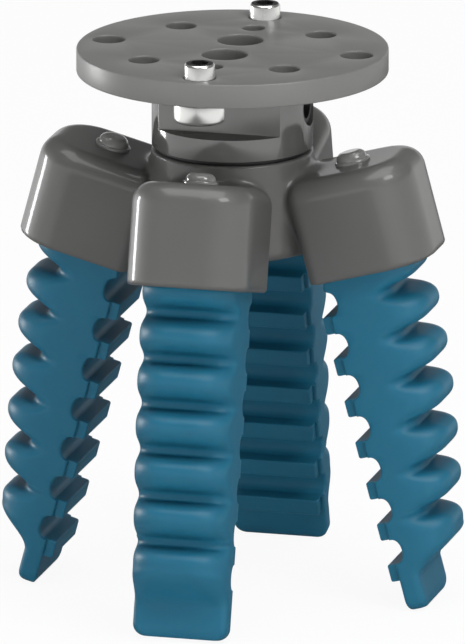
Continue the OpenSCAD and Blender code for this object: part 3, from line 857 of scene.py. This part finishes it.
def bellows():
    """Depths down the finger, and at each its outer reach in the middle and at the flanks
    and its corner radius. The flank of the last fold runs out into the pad."""
    step, margin = 0.05, 3
    d = np.arange(-margin, FINGER["l"] + margin, step)
    last = FOLD["first"] + FOLD["n"] * FOLD["pitch"]
    mid = (d - FOLD["first"] - FOLD["pitch"] / 2) / (last - FOLD["first"] - FOLD["pitch"])
    along = np.clip(mid, 0, FOLD["taper_end"]) ** FOLD["taper_curve"]
    crest = FINGER["x"] + ROOT["half"] - FOLD["taper"] * along
    groove = FOLD["depth_root"] + (FOLD["depth_tip"] - FOLD["depth_root"]) * along
    from_crest = np.abs((((d - FOLD["first"]) / FOLD["pitch"]) % 1) * 2 - 1)
    bulge = np.maximum(1 - (from_crest / FOLD["floor_from"]) ** FOLD["squareness"], 0) ** 0.5
    flank = last - PAD["flank_from"] * FOLD["pitch"]
    t = np.clip((d - flank) / (last + PAD["flank_run"] - flank), 0, 1)
    top = crest[np.searchsorted(d, flank)]
    folded = d < flank
    bulge = np.where(folded, bulge, 1)
    reach = np.where(folded, crest - groove * (1 - bulge), top + (PAD["out"] - top) * smooth(t))
    radius = FOLD["groove_r"] + (FOLD["crest_r"] - FOLD["groove_r"]) * bulge
    radius = np.where(folded, radius, FOLD["crest_r"] + (PAD["r"] - FOLD["crest_r"]) * t)
    return (
        d, blurred(reach, SOFTENING["middle"], step), blurred(reach, SOFTENING["flank"], step),
        blurred(radius, SOFTENING["radius"], step),
    )


BELLOWS = bellows()


def rib_and_hollow(d):
    """Height of the rib and depth of the hollow at depth d."""
    k = np.clip(np.round((d - RIB["start"] - RIB["w"] / 2) / RIB["pitch"]), 0, RIB["n"] - 1)
    off = abs(d - RIB["start"] - RIB["w"] / 2 - k * RIB["pitch"])
    inside = RIB["w"] / 2 - off
    if inside >= 0:
        e = RIB["edge"]
        return RIB["h"] - e + math.sqrt(e * e - (e - min(e, inside)) ** 2), 0.0
    half = (RIB["pitch"] - RIB["w"]) / 2
    first = RIB["start"] - 2 * half
    end = RIB["start"] + (RIB["n"] - 1) * RIB["pitch"] + RIB["w"]
    u = (RIB["pitch"] / 2 - off) / half
    if d <= first or d >= end or abs(u) >= 1:
        return 0.0, 0.0
    return 0.0, HOLLOW["depth"] * (1 - u * u) ** HOLLOW["roundness"]


def section(d):
    """Half outline of the finger at depth d: x and y from its inner to its outer middle."""
    middle, flank, corner = (float(np.interp(d, BELLOWS[0], line)) for line in BELLOWS[1:])
    height, hollow = rib_and_hollow(d)
    into_tip = min(max((d - FINGER["l"]) / PAD["tip_r"] + 1, 0), 1)
    shrink = PAD["tip_r"] * (1 - math.sqrt(1 - into_tip ** 2))
    thinning = shrink * PAD["tip_thinning"]
    half, rib_half = FINGER["half"] - shrink, RIB["half"] - shrink
    wall = FINGER["inner"] + hollow + thinning
    middle -= thinning
    flank -= thinning
    if d < ROOT["step_from"] + ROOT["step"]:
        relief = ROOT["relief"] * smooth(-d / ROOT["relief_h"])
        root_in = FINGER["x"] - ROOT["half"] + relief
        wall = root_in + (wall - root_in) * smooth((d - ROOT["step_from"]) / ROOT["step"])
        middle -= relief
        flank -= relief
    edge, e = FINGER["edge"], min(RIB["edge"], height)
    corner = min(corner, middle - wall - 2 * edge - FINGER["least_flat"])
    face = wall - height
    inset = 0.3  # share of an edge's radius that its middle point lies inside the corner
    outline = [(face, 0), (face, rib_half * 0.6), (face, rib_half - e)]
    outline += [(face + inset * e, rib_half - inset * e), (face + e, rib_half), (wall, rib_half)]
    outline += [(wall, half - edge), (wall + inset * edge, half - inset * edge), (wall + edge, half)]
    start = middle - corner
    outline += [(wall + edge + (start - wall - edge) * t, half) for t in (0.25, 0.5, 0.75)]
    for a in np.radians(np.linspace(90, 0, 15)):
        reach = middle + (flank - middle) * float(smooth(a / math.radians(FINGER["side_turn"])))
        outline.append((reach - corner + corner * math.cos(a), half - corner + corner * math.sin(a)))
    outline += [(middle, (half - corner) * 0.5), (middle, 0)]
    return np.array(outline).T


def finger_depths():
    """Depths of the finger's rings: even along the folds' outline, closer at the ribs' edges."""
    d, reach = BELLOWS[0], BELLOWS[1]
    inside = (d >= -ROOT["h"]) & (d <= FINGER["l"] - PAD["tip_r"])
    d, reach = d[inside], reach[inside]
    along = np.concatenate([[0], np.cumsum(np.hypot(np.diff(d), np.diff(reach)))])
    even = np.interp(np.arange(0, along[-1], RING_STEP), along, d)
    edges = []
    for i in range(RIB["n"]):
        top = RIB["start"] + i * RIB["pitch"]
        edges += [top + off for off in RIB_RINGS] + [top + RIB["w"] - off for off in RIB_RINGS]
    mouth = [-ROOT["relief_h"], -ROOT["relief_h"] / 2, 0.0]
    tip = FINGER["l"] - PAD["tip_r"] * (1 - np.sin(np.radians(np.arange(0, 91, 7.5))))
    depths = np.unique(np.round(np.concatenate([even, edges, mouth, tip]), 3))
    return depths[depths <= FINGER["l"]]


def even_shade(piece):
    """Keeps large flat faces flat beside their rounded edges."""
    step = piece.modifiers.new("even_shade", "WEIGHTED_NORMAL")
    step.keep_sharp = True
    return bake_modifiers(piece)


def make_finger(side, angle):
    """Rings of the section joined into one skin, closed at both ends."""
    rings = []
    for d in finger_depths():
        x, y = section(float(d))
        loop_x = np.concatenate([x, x[-2:0:-1]])
        loop_y = np.concatenate([y, -y[-2:0:-1]])
        rings.append(np.stack([loop_x, loop_y, np.full(len(loop_x), -d)], -1))
    n = len(rings[0])
    tip = (len(rings) - 1) * n
    bm = bmesh.new()
    verts = [bm.verts.new(p) for p in from_socket(np.concatenate(rings), angle) * MM]
    for j in range(len(rings) - 1):
        for i in range(n):
            k = (i + 1) % n
            bm.faces.new([verts[m] for m in (j * n + i, j * n + k, (j + 1) * n + k, (j + 1) * n + i)])
    bm.faces.new([verts[i] for i in range(n - 1, -1, -1)])
    bm.faces.new([verts[tip + i] for i in range(n)])
    bmesh.ops.remove_doubles(bm, verts=bm.verts, dist=0.004 * MM)
    return even_shade(object_from(bm, f"silicone_finger_{side}", smooth_angle=50))


def hang_finger(side, angle):
    """Places a finger, gives it its silicone and hides the solid that it stands for."""
    finger = make_finger(side, angle)
    finger.data.materials.append(blue_silicone)
    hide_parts(f"soft_finger_{side}")
    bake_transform(finger)


blue_silicone = grained(
    "blue_silicone", SILICONE_BLUE, shade=0.88, roughness=0.40, swing=0.10,
    pores=5.0, clouds=0.10, bump=0.018,
    IOR=1.41, Specular_IOR_Level=0.55, Subsurface_Weight=0.3, Subsurface_Scale=0.003,
)
for side, angle in SIDES.items():
    hang_finger(side, angle)
